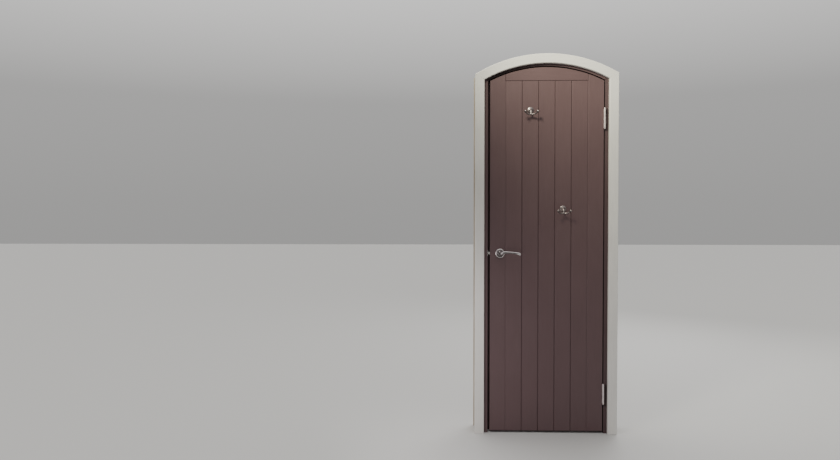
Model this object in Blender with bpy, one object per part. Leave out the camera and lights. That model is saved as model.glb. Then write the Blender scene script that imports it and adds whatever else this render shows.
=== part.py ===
"""Arched, framed and boarded interior door, hung in its own frame with architraves.

Sizes are in metres. Every piece is laid out from three datums: X from the centre line of the
door leaf (latch side at -X, hinge side at +X), Y from the room side edge of the frame (the
room lies towards -Y, the leaf's face is flush with the frame's edge) and Z from the floor.
The whole set then hangs under one empty, which puts the origin on the outer face of the hinge
jamb, where the frame is screwed to a wall.
"""
import math

import bmesh
import bpy
from mathutils import Vector

# Leaf
LEAF_WIDTH = 0.610
LEAF_SIDE_HEIGHT = 1.900
LEAF_RISE = 0.073
LEAF_THICKNESS = 0.044
UNDERCUT = 0.008
STILE_WIDTH = 0.0845
BOARD_COUNT = 5
BOARD_THICKNESS = 0.018
VEE_DEPTH = 0.003
TONGUE_LENGTH = 0.006
TONGUE_FRONT = 0.0065
TONGUE_THICKNESS = 0.006
TOP_RAIL_LAP = 0.045
MIDDLE_RAIL_HEIGHT = 0.180
BOTTOM_RAIL_HEIGHT = 0.200
BRACE_WIDTH = 0.090

# Clearances round the leaf, and the hairline left between pieces that touch
HINGE_GAP = 0.005
LATCH_GAP = 0.012
HEAD_GAP = 0.006
STOP_GAP = 0.005
SEAT = 0.0003
TURNING_GAP = 0.0005

# Frame
FRAME_DEPTH = 0.100
JAMB_THICKNESS = 0.032
STOP_THICKNESS = 0.012
STOP_DEPTH = 0.035
SIDE_MARGIN = 0.020
HEAD_MARGIN = 0.014
ARCHITRAVE_WIDTH = 0.050
ARCHITRAVE_THICKNESS = 0.020
ARCHITRAVE_ROUND = 0.004
FIXING_HEIGHT = 0.950

# Butt hinges
HINGE_LENGTH = 0.102
FLAP_WIDTH = 0.034
FLAP_THICKNESS = 0.0025
KNUCKLE_COUNT = 5
PIVOT_PROUD = 0.0065
PIN_RADIUS = 0.0028
PIN_TIP_HEIGHT = 0.006
UPPER_HINGE_DROP = 0.203
LOWER_HINGE_RISE = 0.207

# Latch and strike plate
LATCH_HEIGHT = 0.970
LATCH_BACKSET = 0.054
LATCH_TUBE_RADIUS = 0.011
LATCH_TUBE_LENGTH = 0.068
FACEPLATE_WIDTH = 0.024
FACEPLATE_HEIGHT = 0.057
FACEPLATE_THICKNESS = 0.0025
BOLT_THROW = 0.008
BOLT_TAIL = 0.016
BOLT_THICKNESS = 0.011
BOLT_NOSE = 0.003
BOLT_HEIGHT = 0.014
STRIKE_THICKNESS = 0.0015
STRIKE_HEIGHT = 0.057
STRIKE_BACK_MARGIN = 0.012
STRIKE_LIP_HEIGHT = 0.030
STRIKE_LIP_REACH = 0.003
KEEP_DEPTH = 0.014
KEEP_MARGIN = 0.0015

# Lever handles
ROSE_RADIUS = 0.0255
ROSE_RIM_HEIGHT = 0.010
ROSE_RIM_WIDTH = 0.0055
ROSE_DISH_HEIGHT = 0.0065
NECK_RADIUS = 0.009
LEVER_STANDOFF = 0.050
LEVER_BEND = 0.016
LEVER_LENGTH = 0.106
LEVER_RISE = 0.0085
LEVER_DROOP = 0.002
LEVER_DROOP_POWER = 2.5
LEVER_PEAK_AT = 0.030
LEVER_WAIST_AT = 0.050
LEVER_ROOT_HEIGHT = 0.016
LEVER_WAIST_HEIGHT = 0.0105
LEVER_TIP_HEIGHT = 0.015
LEVER_FLARE_POWER = 1.5
LEVER_THICKNESS = 0.010
SPINDLE_SIDE = 0.008
SPINDLE_ENGAGEMENT = 0.014

# Coat hooks, each on the middle of a board
UPPER_HOOK_BOARD = 2
UPPER_HOOK_DROP = 0.158
LOWER_HOOK_BOARD = 4
LOWER_HOOK_RISE = 1.211
HOOK_ROSE_RADIUS = 0.018
HOOK_ROSE_EDGE = 0.002
HOOK_ROSE_HEIGHT = 0.006
HOOK_STEM_RADIUS = 0.0065
HOOK_FORK_DROP = 0.024
HOOK_FORK_REACH = 0.018
HOOK_FORK_RADIUS = 0.0046
HOOK_SPREAD = 0.033
HOOK_REACH = 0.038
HOOK_TIP_RADIUS = 0.0036
HOOK_BALL_DROP = 0.010
HOOK_BALL_RADIUS = 0.0072

# Fineness of the curves
ARC_STEPS = 28
ROUND_STEPS = 24
LEVER_STEPS = 16
ROD_STEPS = 12
ARRIS_STEPS = 3
DOME_STEPS = 4
BEND_STATIONS = 4
ARM_STATIONS = 8
HOOK_STATIONS = 14
STEM_STATIONS = 6
BALL_STEPS = 8
SLOPE_STEP = 0.01
SHARP_ANGLE = 35

# Lines that several pieces share
HALF_LEAF = LEAF_WIDTH / 2
SPRING_Z = UNDERCUT + LEAF_SIDE_HEIGHT
ARCH_RADIUS = (HALF_LEAF ** 2 + LEAF_RISE ** 2) / (2 * LEAF_RISE)
ARCH_CENTRE_Z = SPRING_Z + LEAF_RISE - ARCH_RADIUS
STILE_INNER = HALF_LEAF - STILE_WIDTH
BOARD_PITCH = 2 * STILE_INNER / BOARD_COUNT
RAIL_FRONT = BOARD_THICKNESS + SEAT
LATCH_FACE = HALF_LEAF + LATCH_GAP
HINGE_FACE = HALF_LEAF + HINGE_GAP
HEAD_FACE = ARCH_RADIUS + HEAD_GAP
LATCH_Z = UNDERCUT + LATCH_HEIGHT
LATCH_Y = LEAF_THICKNESS / 2
SPINDLE_X = -HALF_LEAF + LATCH_BACKSET
MIDDLE_RAIL_Z = LATCH_Z
KNUCKLE_RADIUS = HINGE_GAP / 2 + FLAP_THICKNESS
PIVOT = Vector((HALF_LEAF + HINGE_GAP / 2, -PIVOT_PROUD, 0))
SPINDLE = Vector((SPINDLE_X, LATCH_Y, LATCH_Z))
HINGE_HEIGHTS = {"upper": SPRING_Z - UPPER_HINGE_DROP, "lower": UNDERCUT + LOWER_HINGE_RISE}
HOOK_PLACES = {
    "upper_coat_hook": (UPPER_HOOK_BOARD, SPRING_Z - UPPER_HOOK_DROP),
    "lower_coat_hook": (LOWER_HOOK_BOARD, UNDERCUT + LOWER_HOOK_RISE),
}
BEYOND = 0.010


def clear_scene():
    for item in list(bpy.data.objects):
        bpy.data.objects.remove(item, do_unlink=True)


def surface(name, colour, roughness, metallic=0.0):
    """A Principled material of one colour."""
    material = bpy.data.materials.new(name)
    material.use_nodes = True
    shader = material.node_tree.nodes["Principled BSDF"]
    shader.inputs["Base Color"].default_value = (*colour, 1.0)
    shader.inputs["Roughness"].default_value = roughness
    shader.inputs["Metallic"].default_value = metallic
    return material


def empty(name, place, parent=None, parent_place=Vector((0, 0, 0))):
    """A carrier that pieces hang under, at a place given from the three datums."""
    carrier = bpy.data.objects.new(name, None)
    bpy.context.scene.collection.objects.link(carrier)
    carrier.location = place - parent_place
    carrier.parent = parent
    carrier["datum"] = tuple(place)
    return carrier


def mesh_from_rings(name, rings, wrap=False):
    """A closed mesh through rings of points, capped at both ends unless it wraps round."""
    shape = bmesh.new()
    loops = [[shape.verts.new(point) for point in ring] for ring in rings]
    pairs = list(zip(loops, loops[1:]))
    if wrap:
        pairs.append((loops[-1], loops[0]))
    for low, high in pairs:
        for i in range(len(low)):
            j = (i + 1) % len(low)
            shape.faces.new((low[i], low[j], high[j], high[i]))
    if not wrap:
        shape.faces.new(loops[0][::-1])
        shape.faces.new(loops[-1])
    bmesh.ops.remove_doubles(shape, verts=shape.verts, dist=1e-6)
    bmesh.ops.recalc_face_normals(shape, faces=shape.faces)
    mesh = bpy.data.meshes.new(name)
    shape.to_mesh(mesh)
    shape.free()
    return mesh


def turned_mesh(name, profile, steps, axis):
    """A profile of (radius, height) turned about an axis: "x", "-y", "y" or "z"."""
    rings = []
    for i in range(steps):
        angle = 2 * math.pi * i / steps
        ring = []
        for radius, height in profile:
            across = radius * math.cos(angle)
            up = radius * math.sin(angle)
            ring.append({
                "x": (height, across, up),
                "-y": (across, -height, up),
                "y": (across, height, up),
                "z": (across, up, height),
            }[axis])
        rings.append(ring)
    return mesh_from_rings(name, rings, wrap=True)


def extruded_mesh(name, outline, low, high, axis):
    """An outline pushed along an axis: "x" takes (y, z) points, "y" (x, z) and "z" (x, y)."""
    place = {
        "x": lambda a, b, depth: (depth, a, b),
        "y": lambda a, b, depth: (a, depth, b),
        "z": lambda a, b, depth: (a, b, depth),
    }[axis]
    return mesh_from_rings(name, [[place(a, b, depth) for a, b in outline] for depth in (low, high)])


def box_mesh(name, x, y, z):
    """A block between pairs of x, y and z values."""
    outline = [(x[0], y[0]), (x[1], y[0]), (x[1], y[1]), (x[0], y[1])]
    return extruded_mesh(name, outline, z[0], z[1], "z")


def piece(name, mesh, carrier, material=None, place=Vector((0, 0, 0))):
    """One named object under its carrier; place is measured from the three datums."""
    item = bpy.data.objects.new(name, mesh)
    bpy.context.scene.collection.objects.link(item)
    item.parent = carrier
    item.location = Vector(place) - Vector(carrier["datum"])
    if material:
        mesh.materials.append(material)
        mesh.shade_smooth()
        mesh.set_sharp_from_angle(angle=math.radians(SHARP_ANGLE))
    return item


def combine(target, mesh, operation, place=Vector((0, 0, 0))):
    """Adds to, cuts from or trims the target with another shape under the same carrier."""
    tool = piece(target.name + "_tool", mesh, target.parent, place=place)
    tool.hide_render = True
    tool.display_type = "WIRE"
    step = target.modifiers.new(operation.lower(), "BOOLEAN")
    step.operation = operation
    step.object = tool
    step.solver = "EXACT"


def arch_z(radius, x):
    """Height of a circle about the arch's centre, at x."""
    return ARCH_CENTRE_Z + math.sqrt(radius ** 2 - x ** 2)


def circle(radius, steps, centre=(0.0, 0.0)):
    angles = [2 * math.pi * i / steps for i in range(steps)]
    return [(centre[0] + radius * math.cos(a), centre[1] + radius * math.sin(a)) for a in angles]


# Leaf

def plank_edge(kind, x, out, thickness):
    """One long edge of a board or stile, from its face to its back; out is +1 or -1."""
    tongue_back = TONGUE_FRONT + TONGUE_THICKNESS
    if kind == "square":
        return [(x, 0), (x, thickness)]
    front = TONGUE_FRONT
    back = tongue_back
    tip = x + out * TONGUE_LENGTH
    if kind == "groove":
        front = TONGUE_FRONT - SEAT
        back = tongue_back + SEAT
        tip = x - out * TONGUE_LENGTH
    vee = [(x - out * VEE_DEPTH, 0), (x, VEE_DEPTH)]
    return vee + [(x, front), (tip, front), (tip, back), (x, back), (x, thickness)]


def plank_section(left, left_x, right, right_x, thickness):
    return plank_edge(right, right_x, 1, thickness) + plank_edge(left, left_x, -1, thickness)[::-1]


def arch_blank_mesh():
    """The leaf's outline, oversize except along its arched top, to trim pieces to the arch."""
    side = HALF_LEAF + BEYOND
    tops = [side - 2 * side * i / ARC_STEPS for i in range(ARC_STEPS + 1)]
    outline = [(-side, -BEYOND), (side, -BEYOND)] + [(x, arch_z(ARCH_RADIUS, x)) for x in tops]
    return extruded_mesh("arch_blank", outline, -BEYOND, LEAF_THICKNESS + BEYOND, "y")


def make_stiles(leaf, paint):
    above_crown = SPRING_Z + LEAF_RISE + BEYOND
    sections = {
        "latch_stile": plank_section("square", -HALF_LEAF, "groove", -STILE_INNER, LEAF_THICKNESS),
        "hinge_stile": plank_section("groove", STILE_INNER, "square", HALF_LEAF, LEAF_THICKNESS),
    }
    stiles = {}
    for name, section in sections.items():
        mesh = extruded_mesh(name, section, UNDERCUT, above_crown, "z")
        stiles[name] = piece(name, mesh, leaf, paint)
        combine(stiles[name], arch_blank_mesh(), "INTERSECT")
    return stiles["latch_stile"], stiles["hinge_stile"]


def make_boards(leaf, paint):
    for i in range(BOARD_COUNT):
        left_x = -STILE_INNER + i * BOARD_PITCH + SEAT
        right_x = -STILE_INNER + (i + 1) * BOARD_PITCH
        right = "groove"
        if i == BOARD_COUNT - 1:
            right = "tongue"
            right_x -= SEAT
        section = plank_section("tongue", left_x, right, right_x, BOARD_THICKNESS)
        name = f"board_{i + 1}"
        mesh = extruded_mesh(name, section, UNDERCUT, SPRING_Z - SEAT, "z")
        piece(name, mesh, leaf, paint)


def make_top_rail(leaf, paint):
    """The arched rail shows above the boards and laps down behind them."""
    back = LEAF_THICKNESS
    top = SPRING_Z + LEAF_RISE + BEYOND
    lap = SPRING_Z - TOP_RAIL_LAP
    section = [(0, SPRING_Z + VEE_DEPTH), (VEE_DEPTH, SPRING_Z), (RAIL_FRONT, SPRING_Z),
               (RAIL_FRONT, lap), (back, lap), (back, top), (0, top)]
    reach = STILE_INNER - SEAT
    rail = piece("top_rail", extruded_mesh("top_rail", section, -reach, reach, "x"), leaf, paint)
    combine(rail, arch_blank_mesh(), "INTERSECT")


def make_back_rails(leaf, paint):
    """The middle and bottom rails lie behind the boards, with a chamfered top edge."""
    half = MIDDLE_RAIL_HEIGHT / 2
    spans = {
        "middle_rail": (MIDDLE_RAIL_Z - half, MIDDLE_RAIL_Z + half),
        "bottom_rail": (UNDERCUT, UNDERCUT + BOTTOM_RAIL_HEIGHT),
    }
    reach = STILE_INNER - SEAT
    for name, (low, high) in spans.items():
        section = [(RAIL_FRONT, low), (LEAF_THICKNESS, low), (LEAF_THICKNESS, high - VEE_DEPTH),
                   (LEAF_THICKNESS - VEE_DEPTH, high), (RAIL_FRONT, high)]
        piece(name, extruded_mesh(name, section, -reach, reach, "x"), leaf, paint)
    return spans


def make_braces(leaf, paint, spans):
    """Each brace rises from the hinge side of its bay to the latch side."""
    bays = {
        "lower_brace": (spans["bottom_rail"][1], spans["middle_rail"][0]),
        "upper_brace": (spans["middle_rail"][1], SPRING_Z - TOP_RAIL_LAP),
    }
    for name, (low, high) in bays.items():
        low += SEAT
        high -= SEAT
        side = STILE_INNER - SEAT
        width = 2 * side
        height = high - low
        diagonal = math.hypot(width, height)
        along = BRACE_WIDTH / 2 * diagonal / height
        up = BRACE_WIDTH / 2 * diagonal / width
        outline = [(side, low), (side, low + up), (-side + along, high), (-side, high),
                   (-side, high - up), (side - along, low)]
        piece(name, extruded_mesh(name, outline, RAIL_FRONT, LEAF_THICKNESS, "y"), leaf, paint)


# Frame

def rounded_strip(width, front, back):
    """Section of a strip in (u, y), with both arrises of its front face rounded."""
    out = 1 if back > front else -1
    points = []
    for corner, start in ((ARCHITRAVE_ROUND, 180), (width - ARCHITRAVE_ROUND, 270)):
        for i in range(ARRIS_STEPS + 1):
            angle = math.radians(start + 90 * i / ARRIS_STEPS)
            u = corner + ARCHITRAVE_ROUND * math.cos(angle)
            points.append((u, front + out * ARCHITRAVE_ROUND * (1 + math.sin(angle))))
    return points + [(width, back), (0, back)]


def frame_side(name, side, face, radius, section, carrier, material):
    """An upright whose section is (u, y), u running outwards from its face, mitred at the top."""
    foot = [(side * (face + u), y, 0) for u, y in section]
    top = [(side * (face + u), y, arch_z(radius + u, face + u) - SEAT) for u, y in section]
    return piece(name, mesh_from_rings(name, [foot, top]), carrier, material)


def frame_arch(name, latch_face, hinge_face, radius, section, carrier, material):
    """The same section carried over the arch from mitre to mitre."""
    rings = []
    for i in range(ARC_STEPS + 1):
        ring = []
        for u, y in section:
            start = -math.asin((latch_face + u) / (radius + u))
            end = math.asin((hinge_face + u) / (radius + u))
            angle = start + (end - start) * i / ARC_STEPS
            reach = radius + u
            ring.append((reach * math.sin(angle), y, ARCH_CENTRE_Z + reach * math.cos(angle)))
        rings.append(ring)
    return piece(name, mesh_from_rings(name, rings), carrier, material)


def frame_set(stem, margins, section, carrier, material):
    """Latch side, hinge side and arched head of one member of the frame."""
    side_margin, head_margin = margins
    latch = LATCH_FACE + side_margin
    hinge = HINGE_FACE + side_margin
    radius = HEAD_FACE + head_margin
    latch_piece = frame_side("latch_" + stem, -1, latch, radius, section, carrier, material)
    hinge_piece = frame_side("hinge_" + stem, 1, hinge, radius, section, carrier, material)
    frame_arch("head_" + stem, latch, hinge, radius, section, carrier, material)
    return latch_piece, hinge_piece


def make_frame(frame, paint, white):
    lining = [(0, 0), (JAMB_THICKNESS, 0), (JAMB_THICKNESS, FRAME_DEPTH), (0, FRAME_DEPTH)]
    jambs = frame_set("jamb", (0, 0), lining, frame, paint)
    stop_front = LEAF_THICKNESS + STOP_GAP
    stop_back = stop_front + STOP_DEPTH
    stop = [(-STOP_THICKNESS, stop_front), (-SEAT, stop_front), (-SEAT, stop_back),
            (-STOP_THICKNESS, stop_back)]
    frame_set("stop", (0, 0), stop, frame, paint)
    margins = (SIDE_MARGIN, HEAD_MARGIN)
    room_side = rounded_strip(ARCHITRAVE_WIDTH, -ARCHITRAVE_THICKNESS, -SEAT)
    frame_set("front_architrave", margins, room_side, frame, white)
    rear_face = FRAME_DEPTH + ARCHITRAVE_THICKNESS
    far_side = rounded_strip(ARCHITRAVE_WIDTH, rear_face, FRAME_DEPTH + SEAT)
    frame_set("rear_architrave", margins, far_side, frame, white)
    return jambs


# Hinges

def knuckle_outline(side):
    """A barrel round the pin, with the flap leaving it as a tangent; side is -1 or +1."""
    inner = KNUCKLE_RADIUS - FLAP_THICKNESS
    start = math.pi
    end = 2 * math.pi + math.acos(-inner / KNUCKLE_RADIUS)
    outline = []
    for i in range(ROUND_STEPS + 1):
        angle = start + (end - start) * i / ROUND_STEPS
        outline.append((-side * KNUCKLE_RADIUS * math.cos(angle), KNUCKLE_RADIUS * math.sin(angle)))
    root = PIVOT_PROUD + KNUCKLE_RADIUS
    return outline + [(side * inner, root), (side * KNUCKLE_RADIUS, root)]


def make_hinge_flap(name, side, knuckles, centre_z, carrier, steel):
    """One flap of a butt hinge, placed about its pin; knuckles are counted from below."""
    half = HINGE_LENGTH / 2
    faces = sorted((side * KNUCKLE_RADIUS, side * (KNUCKLE_RADIUS - FLAP_THICKNESS)))
    place = PIVOT + Vector((0, 0, centre_z))
    plate = box_mesh(name, faces, (PIVOT_PROUD, PIVOT_PROUD + FLAP_WIDTH), (-half, half))
    flap = piece(name, plate, carrier, steel, place)
    pitch = HINGE_LENGTH / KNUCKLE_COUNT
    for i in knuckles:
        low = -half + i * pitch + TURNING_GAP / 2 * (i > 0)
        high = -half + (i + 1) * pitch - TURNING_GAP / 2 * (i < KNUCKLE_COUNT - 1)
        combine(flap, extruded_mesh(name, knuckle_outline(side), low, high, "z"), "UNION", place)
    bore = circle(PIN_RADIUS + TURNING_GAP, ROUND_STEPS)
    combine(flap, extruded_mesh(name, bore, -half - BEYOND, half + BEYOND, "z"), "DIFFERENCE", place)


def make_hinge_pin(name, centre_z, frame, steel):
    """A pin with a rounded button at each end."""
    base = HINGE_LENGTH / 2 + SEAT
    button = [(KNUCKLE_RADIUS * math.cos(a), base + PIN_TIP_HEIGHT * math.sin(a))
              for a in (math.pi / 2 * i / ARRIS_STEPS for i in range(ARRIS_STEPS + 1))]
    upper = [(PIN_RADIUS, base)] + button
    lower = [(radius, -height) for radius, height in upper[::-1]]
    mesh = turned_mesh(name, lower + upper, ROUND_STEPS, "z")
    piece(name, mesh, frame, steel, PIVOT + Vector((0, 0, centre_z)))


def make_hinges(frame, leaf, stile, jamb, steel):
    on_jamb = range(0, KNUCKLE_COUNT, 2)
    on_leaf = range(1, KNUCKLE_COUNT, 2)
    half = HINGE_LENGTH / 2 + SEAT
    depth = FLAP_THICKNESS + SEAT
    for level, z in HINGE_HEIGHTS.items():
        make_hinge_flap(f"{level}_hinge_leaf_flap", -1, on_leaf, z, leaf, steel)
        make_hinge_flap(f"{level}_hinge_jamb_flap", 1, on_jamb, z, frame, steel)
        make_hinge_pin(f"{level}_hinge_pin", z, frame, steel)
        recess_y = (-BEYOND, FLAP_WIDTH + SEAT)
        recess_z = (z - half, z + half)
        in_leaf = box_mesh("leaf_recess", (HALF_LEAF - depth, HALF_LEAF + BEYOND), recess_y, recess_z)
        in_jamb = box_mesh("jamb_recess", (HINGE_FACE - BEYOND, HINGE_FACE + depth), recess_y, recess_z)
        combine(stile, in_leaf, "DIFFERENCE")
        combine(jamb, in_jamb, "DIFFERENCE")


# Latch

def make_latch_case(leaf, stile, steel):
    """A tubular case let into the stile, with its faceplate flush in the leaf's edge."""
    edge = -HALF_LEAF
    half_width = FACEPLATE_WIDTH / 2
    half_height = FACEPLATE_HEIGHT / 2
    plate = box_mesh("latch_case", (edge, edge + FACEPLATE_THICKNESS),
                     (LATCH_Y - half_width, LATCH_Y + half_width),
                     (LATCH_Z - half_height, LATCH_Z + half_height))
    case = piece("latch_case", plate, leaf, steel)
    centre = (LATCH_Y, LATCH_Z)
    tube_start = edge + FACEPLATE_THICKNESS / 2
    tube_end = edge + LATCH_TUBE_LENGTH
    tube = circle(LATCH_TUBE_RADIUS, ROUND_STEPS, centre)
    combine(case, extruded_mesh("tube", tube, tube_start, tube_end, "x"), "UNION")
    channel_y = BOLT_THICKNESS / 2 + TURNING_GAP
    channel_z = BOLT_HEIGHT / 2 + TURNING_GAP
    channel = box_mesh("channel", (edge - BEYOND, edge + BOLT_TAIL + BOLT_THROW + TURNING_GAP),
                       (LATCH_Y - channel_y, LATCH_Y + channel_y),
                       (LATCH_Z - channel_z, LATCH_Z + channel_z))
    combine(case, channel, "DIFFERENCE")
    sweep = circle(SPINDLE_SIDE / math.sqrt(2) + TURNING_GAP, ROUND_STEPS, (SPINDLE_X, LATCH_Z))
    through = (-BEYOND, LEAF_THICKNESS + BEYOND)
    combine(case, extruded_mesh("spindle_way", sweep, *through, "y"), "DIFFERENCE")

    recess = box_mesh("recess", (edge - BEYOND, edge + FACEPLATE_THICKNESS + SEAT),
                      (LATCH_Y - half_width - SEAT, LATCH_Y + half_width + SEAT),
                      (LATCH_Z - half_height - SEAT, LATCH_Z + half_height + SEAT))
    combine(stile, recess, "DIFFERENCE")
    bore = circle(LATCH_TUBE_RADIUS + SEAT, ROUND_STEPS, centre)
    combine(stile, extruded_mesh("bore", bore, edge, tube_end + SEAT, "x"), "DIFFERENCE")
    cross_bore = circle(NECK_RADIUS + TURNING_GAP, ROUND_STEPS, (SPINDLE_X, LATCH_Z))
    combine(stile, extruded_mesh("cross_bore", cross_bore, *through, "y"), "DIFFERENCE")


def make_latch_bolt(bolt, steel):
    """The spring bolt, thrown; its slope faces the way the door closes."""
    front = LATCH_Y - BOLT_THICKNESS / 2
    back = LATCH_Y + BOLT_THICKNESS / 2
    tip = -HALF_LEAF - BOLT_THROW
    tail = -HALF_LEAF + BOLT_TAIL
    outline = [(tip, front), (tip, front + BOLT_NOSE), (-HALF_LEAF, back), (tail, back), (tail, front)]
    half = BOLT_HEIGHT / 2
    mesh = extruded_mesh("latch_bolt", outline, LATCH_Z - half, LATCH_Z + half, "z")
    piece("latch_bolt", mesh, bolt, steel)


def strike_outline(grow):
    """The strike plate seen along X, in (y, z): a plate whose lip runs out past the jamb's edge."""
    back = LEAF_THICKNESS - STRIKE_BACK_MARGIN + grow
    plate_front = STRIKE_BACK_MARGIN / 2 - grow
    lip_front = -STRIKE_LIP_REACH - grow
    plate = STRIKE_HEIGHT / 2 + grow
    lip = STRIKE_LIP_HEIGHT / 2 + grow
    rise = [(lip_front, -lip), (plate_front, -lip), (plate_front, -plate), (back, -plate)]
    return [(y, LATCH_Z + z) for y, z in rise + [(y, -z) for y, z in rise[::-1]]]


def make_strike(frame, jamb, steel):
    face = -LATCH_FACE
    outline = strike_outline(0)
    mesh = extruded_mesh("strike_plate", outline, face - STRIKE_THICKNESS, face, "x")
    strike = piece("strike_plate", mesh, frame, steel)
    hole_y = BOLT_THICKNESS / 2 + KEEP_MARGIN
    hole_z = BOLT_HEIGHT / 2 + KEEP_MARGIN
    keep = box_mesh("keep", (face - KEEP_DEPTH, face + BEYOND),
                    (LATCH_Y - hole_y, LATCH_Y + hole_y), (LATCH_Z - hole_z, LATCH_Z + hole_z))
    combine(strike, keep, "DIFFERENCE")
    housing_floor = face - STRIKE_THICKNESS - SEAT
    housing = extruded_mesh("housing", strike_outline(SEAT), housing_floor, face + BEYOND, "x")
    combine(jamb, housing, "DIFFERENCE")
    combine(jamb, keep, "DIFFERENCE")


# Lever handles

def make_rose(name, facing, place, leaf, chrome):
    """A round rose with a raised rim and a dished face, bored for the lever's neck."""
    hole = NECK_RADIUS + TURNING_GAP
    rim_middle = ROSE_RADIUS - ROSE_RIM_WIDTH
    rim = []
    for i in range(2 * ARRIS_STEPS + 1):
        angle = math.pi * i / (2 * ARRIS_STEPS)
        crest = ROSE_RIM_HEIGHT - ROSE_RIM_WIDTH
        low = crest if angle < math.pi / 2 else ROSE_DISH_HEIGHT
        rim.append((rim_middle + ROSE_RIM_WIDTH * math.cos(angle),
                    low + (ROSE_RIM_HEIGHT - low) * math.sin(angle)))
    profile = [(hole, SEAT), (ROSE_RADIUS, SEAT)] + rim + [(hole, ROSE_DISH_HEIGHT)]
    piece(name, turned_mesh(name, profile, ROUND_STEPS, facing), leaf, chrome, place)


def lever_height(x):
    """Depth of the lever's arm, seen from the front: slim at the waist, flared at the tip."""
    if x < LEVER_WAIST_AT:
        far = (LEVER_WAIST_AT - x) / (LEVER_WAIST_AT - LEVER_BEND)
        return LEVER_WAIST_HEIGHT + (LEVER_ROOT_HEIGHT - LEVER_WAIST_HEIGHT) * far ** 2
    far = (x - LEVER_WAIST_AT) / (LEVER_LENGTH - LEVER_WAIST_AT)
    return LEVER_WAIST_HEIGHT + (LEVER_TIP_HEIGHT - LEVER_WAIST_HEIGHT) * far ** LEVER_FLARE_POWER


def lever_line(x):
    """Height of the arm's middle above the spindle: it rises from the neck, then droops."""
    if x < LEVER_PEAK_AT:
        return LEVER_RISE * math.sin(math.pi / 2 * x / LEVER_PEAK_AT)
    far = (x - LEVER_PEAK_AT) / (LEVER_LENGTH - LEVER_PEAK_AT)
    return LEVER_RISE - (LEVER_RISE + LEVER_DROOP) * far ** LEVER_DROOP_POWER


def lever_rings(out):
    """Rings from the neck's foot to the arm's tip; out is -1 on the room side, +1 behind."""
    neck_end = LEVER_STANDOFF - LEVER_BEND
    stations = [(0.0, depth, 0.0, NECK_RADIUS, NECK_RADIUS) for depth in (2 * SEAT, neck_end)]
    for i in range(1, BEND_STATIONS + 1):
        share = i / BEND_STATIONS
        turn = math.pi / 2 * share
        x = LEVER_BEND * (1 - math.cos(turn))
        depth = neck_end + LEVER_BEND * math.sin(turn)
        slim = NECK_RADIUS + (LEVER_THICKNESS / 2 - NECK_RADIUS) * share
        tall = NECK_RADIUS + (LEVER_ROOT_HEIGHT / 2 - NECK_RADIUS) * share
        stations.append((x, depth, turn, slim, tall))
    arm = LEVER_LENGTH - LEVER_BEND
    for i in range(1, ARM_STATIONS + 1):
        x = LEVER_BEND + arm * i / ARM_STATIONS
        stations.append((x, LEVER_STANDOFF, math.pi / 2, LEVER_THICKNESS / 2, lever_height(x) / 2))
    rings = []
    for x, depth, turn, across, up in stations:
        ring = []
        for i in range(LEVER_STEPS):
            angle = 2 * math.pi * i / LEVER_STEPS
            side = across * math.cos(angle)
            height = lever_line(x) + up * math.sin(angle)
            ring.append((x + side * math.cos(turn), out * (depth - side * math.sin(turn)), height))
        rings.append(ring)
    return rings


def make_levers(leaf, lever, chrome, steel):
    """A rose and a lever on each face, joined by a square spindle through the stile."""
    socket = SPINDLE_SIDE / 2 + SEAT
    for side, facing, out, face_y in (("front", "-y", -1, 0), ("rear", "y", 1, LEAF_THICKNESS)):
        place = Vector((SPINDLE_X, face_y, LATCH_Z))
        make_rose(f"{side}_rose", facing, place, leaf, chrome)
        name = f"{side}_lever"
        handle = piece(name, mesh_from_rings(name, lever_rings(out)), lever, chrome, place)
        ends = sorted((-out * BEYOND, out * (SPINDLE_ENGAGEMENT + SEAT)))
        hole = box_mesh("socket", (-socket, socket), ends, (-socket, socket))
        combine(handle, hole, "DIFFERENCE", place)
    half = SPINDLE_SIDE / 2
    ends = (-SPINDLE_ENGAGEMENT, LEAF_THICKNESS + SPINDLE_ENGAGEMENT)
    spindle = box_mesh("spindle", (-half, half), ends, (-half, half))
    piece("spindle", spindle, lever, steel, Vector((SPINDLE_X, 0, LATCH_Z)))


# Coat hooks

def hook_arm(t):
    """Middle of the arms, from the ball at t = -1 through the fork at 0 to the ball at 1."""
    depth = HOOK_FORK_REACH + (HOOK_REACH - HOOK_FORK_REACH) * t ** 2
    height = -HOOK_FORK_DROP + (HOOK_FORK_DROP - HOOK_BALL_DROP) * t ** 4
    return Vector((HOOK_SPREAD * t, -depth, height))


def hook_arm_radius(t):
    return HOOK_FORK_RADIUS + (HOOK_TIP_RADIUS - HOOK_FORK_RADIUS) * abs(t)


def hook_stem(t):
    """Middle of the stem, which leaves the rose square at t = 0 and drops to the fork at 1."""
    turn = math.pi / 2 * t
    start = HOOK_ROSE_HEIGHT / 2
    depth = start + (HOOK_FORK_REACH - start) * math.sin(turn)
    return Vector((0, -depth, -HOOK_FORK_DROP * (1 - math.cos(turn))))


def hook_stem_radius(t):
    return HOOK_STEM_RADIUS + (HOOK_TIP_RADIUS - HOOK_STEM_RADIUS) * t


def rod_mesh(name, line, radius, start, stations, level):
    """A round rod along a line, from start to 1; level is a direction across the whole line."""
    rings = []
    for i in range(stations + 1):
        t = start + (1 - start) * i / stations
        slope = (line(t + SLOPE_STEP) - line(t - SLOPE_STEP)).normalized()
        across = slope.cross(Vector(level)).normalized()
        up = slope.cross(across)
        ring = []
        for j in range(ROD_STEPS):
            angle = 2 * math.pi * j / ROD_STEPS
            around = math.cos(angle) * across + math.sin(angle) * up
            ring.append(line(t) + radius(t) * around)
        rings.append(ring)
    mesh = mesh_from_rings(name, rings)
    mesh.shade_smooth()
    return mesh


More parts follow.
